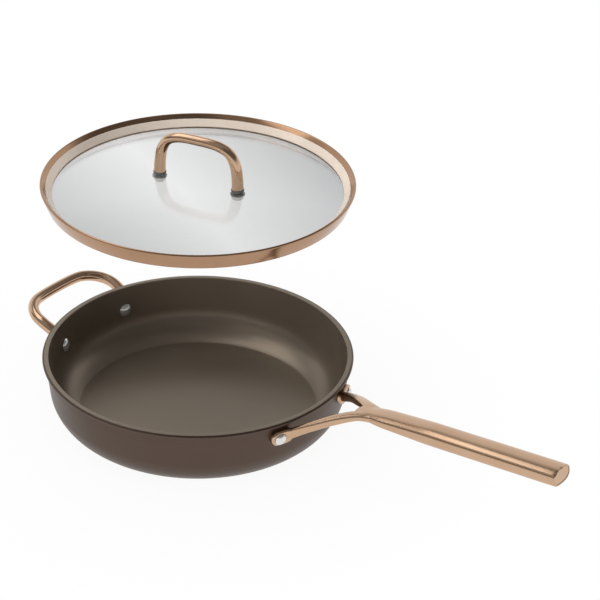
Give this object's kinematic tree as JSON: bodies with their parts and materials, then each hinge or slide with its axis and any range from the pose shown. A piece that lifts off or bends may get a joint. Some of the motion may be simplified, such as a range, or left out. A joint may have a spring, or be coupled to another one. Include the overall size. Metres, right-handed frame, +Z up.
{
  "type": "braising pan with lid",
  "caption": "Wide braising pan with a forked, riveted long handle, a looped side handle opposite, and a glass lid with a metal rim and a looped handle that lifts straight off.",
  "frame": {"origin": "middle of the pan's flat underside", "axes": "+X along the long handle, towards its outer end; +Z up; the looped side handle is at -X"},
  "size_m": [0.6088, 0.304, 0.3011],
  "materials": {
    "anodised": "brown hard-anodised, satin",
    "rose_gold": "rose gold coloured, softly polished",
    "rim_metal": "copper coloured, polished",
    "steel": "polished stainless steel",
    "pane": "clear tempered glass",
    "silicone": "matt dark grey"
  },
  "bodies": {
    "pan": {"pan_body": "anodised", "long_handle": "rose_gold", "long_handle_end_cap": "rose_gold", "long_handle_rivet_front": "steel", "long_handle_rivet_back": "steel", "side_handle": "rose_gold", "side_handle_rivet_front": "steel", "side_handle_rivet_back": "steel"},
    "lid": {"lid_rim": "rim_metal", "lid_glass": "pane", "lid_handle": "rose_gold", "lid_handle_ring_left": "silicone", "lid_handle_ring_right": "silicone", "lid_handle_seal_left": "silicone", "lid_handle_seal_right": "silicone", "lid_handle_screw_left": "steel", "lid_handle_screw_right": "steel"}
  },
  "joints": [
    {"name": "lid_lift", "type": "slide", "parent": "pan", "child": "lid", "axis": [0, 0, 1], "range_m": [-0.1802, 0]}
  ]
}
